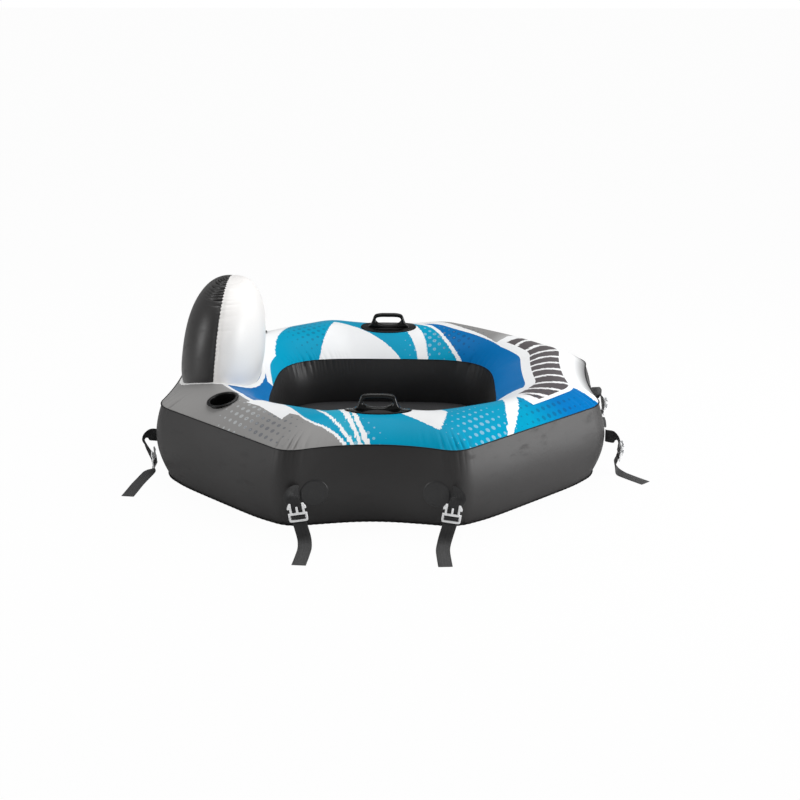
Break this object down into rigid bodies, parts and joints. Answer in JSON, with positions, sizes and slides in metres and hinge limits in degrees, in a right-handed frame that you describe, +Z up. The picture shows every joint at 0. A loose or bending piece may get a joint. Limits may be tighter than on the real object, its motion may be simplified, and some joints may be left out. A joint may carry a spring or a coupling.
{
  "type": "inflatable river tube lounge",
  "caption": "Inflatable river tube with a seat well, pillow headrest, cup holders, carry handles and buckled straps for joining tubes.",
  "frame": {"origin": "on the ground, under the middle of the box round the whole object", "axes": "+X towards the foot end, so the headrest is at -X; +Y across, away from the side the picture shows; +Z up"},
  "size_m": [1.5548, 1.7099, 0.556],
  "materials": {
    "printed_vinyl": "satin printed vinyl",
    "charcoal_vinyl": "satin vinyl",
    "well_vinyl": "satin vinyl",
    "under_vinyl": "matte vinyl",
    "floor_mesh": "woven mesh",
    "white_vinyl": "satin vinyl",
    "grey_vinyl": "satin vinyl",
    "weld_strip": "satin vinyl",
    "cup_plastic": "satin moulded vinyl",
    "handle_moulding": "satin moulded vinyl",
    "patch_vinyl": "satin vinyl",
    "black_webbing": "woven webbing",
    "buckle_plastic": "satin moulded plastic",
    "valve_vinyl": "satin moulded vinyl",
    "valve_cap": "satin moulded vinyl"
  },
  "bodies": {
    "hull": {"top_panel": "printed_vinyl", "outer_band": "charcoal_vinyl", "inner_band": "well_vinyl", "bottom_panel": "under_vinyl", "well_floor": "floor_mesh", "headrest_flange": "weld_strip", "headrest_front": "white_vinyl", "headrest_back": "grey_vinyl", "cup_holder_near": "cup_plastic", "cup_holder_far": "cup_plastic", "handle_near": "handle_moulding", "handle_far": "handle_moulding", "patch_near_head": "patch_vinyl", "patch_near_foot": "patch_vinyl", "patch_far_head": "patch_vinyl", "patch_far_foot": "patch_vinyl", "patch_head_near": "patch_vinyl", "patch_head_far": "patch_vinyl", "patch_foot_near": "patch_vinyl", "patch_foot_far": "patch_vinyl", "valve_main": "valve_vinyl", "valve_headrest": "valve_vinyl"},
    "strap_near_head": {"strap_near_head": "black_webbing"},
    "strap_near_foot": {"strap_near_foot": "black_webbing"},
    "strap_far_head": {"strap_far_head": "black_webbing"},
    "strap_far_foot": {"strap_far_foot": "black_webbing"},
    "strap_head_near": {"strap_head_near": "black_webbing"},
    "strap_head_far": {"strap_head_far": "black_webbing"},
    "strap_foot_near": {"strap_foot_near": "black_webbing"},
    "strap_foot_far": {"strap_foot_far": "black_webbing"},
    "buckle_near_head": {"buckle_near_head": "buckle_plastic"},
    "buckle_near_foot": {"buckle_near_foot": "buckle_plastic"},
    "buckle_far_head": {"buckle_far_head": "buckle_plastic"},
    "buckle_far_foot": {"buckle_far_foot": "buckle_plastic"},
    "buckle_head_near": {"buckle_head_near": "buckle_plastic"},
    "buckle_head_far": {"buckle_head_far": "buckle_plastic"},
    "buckle_foot_near": {"buckle_foot_near": "buckle_plastic"},
    "buckle_foot_far": {"buckle_foot_far": "buckle_plastic"},
    "main_cap": {"valve_cap_main": "valve_cap"},
    "headrest_cap": {"valve_cap_headrest": "valve_cap"}
  },
  "joints": [
    {"name": "swing_near_head", "type": "hinge", "parent": "hull", "child": "strap_near_head", "pos_m": [-0.23326, -0.64307, 0.118], "axis": [0, 0, 1], "range_deg": [-25, 8]},
    {"name": "swing_near_foot", "type": "hinge", "parent": "hull", "child": "strap_near_foot", "pos_m": [0.18066, -0.63973, 0.11804], "axis": [0, 0, 1], "range_deg": [-8, 25]},
    {"name": "swing_far_head", "type": "hinge", "parent": "hull", "child": "strap_far_head", "pos_m": [-0.23324, 0.64308, 0.118], "axis": [0, 0, 1], "range_deg": [-8, 25]},
    {"name": "swing_far_foot", "type": "hinge", "parent": "hull", "child": "strap_far_foot", "pos_m": [0.18067, 0.63974, 0.11804], "axis": [0, 0, 1], "range_deg": [-22, 8]},
    {"name": "swing_head_near", "type": "hinge", "parent": "hull", "child": "strap_head_near", "pos_m": [-0.70245, -0.19782, 0.115], "axis": [0, 0, 1], "range_deg": [-60, 15]},
    {"name": "swing_head_far", "type": "hinge", "parent": "hull", "child": "strap_head_far", "pos_m": [-0.70246, 0.19782, 0.115], "axis": [0, 0, 1], "range_deg": [-15, 60]},
    {"name": "swing_foot_near", "type": "hinge", "parent": "hull", "child": "strap_foot_near", "pos_m": [0.64622, -0.19779, 0.12481], "axis": [0, 0, 1], "range_deg": [-18, 60]},
    {"name": "swing_foot_far", "type": "hinge", "parent": "hull", "child": "strap_foot_far", "pos_m": [0.64623, 0.19779, 0.12481], "axis": [0, 0, 1], "range_deg": [-60, 18]},
    {"name": "tilt_near_head", "type": "hinge", "parent": "strap_near_head", "child": "buckle_near_head", "pos_m": [-0.23262, -0.68255, 0.061], "axis": [0.9901, 0.014, 0.14], "range_deg": [-1, 4]},
    {"name": "tilt_near_foot", "type": "hinge", "parent": "strap_near_foot", "child": "buckle_near_foot", "pos_m": [0.17938, -0.68154, 0.061], "axis": [0.9901, -0.014, -0.14], "range_deg": [-1, 4]},
    {"name": "tilt_far_head", "type": "hinge", "parent": "strap_far_head", "child": "buckle_far_head", "pos_m": [-0.23262, 0.6825, 0.061], "axis": [-0.9901, 0.014, -0.14], "range_deg": [-1, 4]},
    {"name": "tilt_far_foot", "type": "hinge", "parent": "strap_far_foot", "child": "buckle_far_foot", "pos_m": [0.17938, 0.68156, 0.061], "axis": [-0.9901, -0.014, 0.14], "range_deg": [-1, 4]},
    {"name": "tilt_head_near", "type": "hinge", "parent": "strap_head_near", "child": "buckle_head_near", "pos_m": [-0.71856, -0.205, 0.029], "axis": [0, 0.9992, 0.04], "range_deg": [-1, 4]},
    {"name": "tilt_head_far", "type": "hinge", "parent": "strap_head_far", "child": "buckle_head_far", "pos_m": [-0.71857, 0.205, 0.029], "axis": [0, 0.9992, -0.04], "range_deg": [-1, 4]},
    {"name": "tilt_foot_near", "type": "hinge", "parent": "strap_foot_near", "child": "buckle_foot_near", "pos_m": [0.68973, -0.204, 0.066], "axis": [0.0025, 0.9988, 0.0497], "range_deg": [-1, 4]},
    {"name": "tilt_foot_far", "type": "hinge", "parent": "strap_foot_far", "child": "buckle_foot_far", "pos_m": [0.68975, 0.204, 0.066], "axis": [-0.0025, 0.9988, -0.0497], "range_deg": [-1, 4]},
    {"name": "open_main_cap", "type": "hinge", "parent": "hull", "child": "main_cap", "pos_m": [-0.02641, 0.61203, 0.14053], "axis": [0.9998, -0.0198, 0], "range_deg": [0, 150]},
    {"name": "open_headrest_cap", "type": "hinge", "parent": "hull", "child": "headrest_cap", "pos_m": [-0.64294, 0.08663, 0.37687], "axis": [0.1979, 0.9802, 0], "range_deg": [0, 150]}
  ]
}
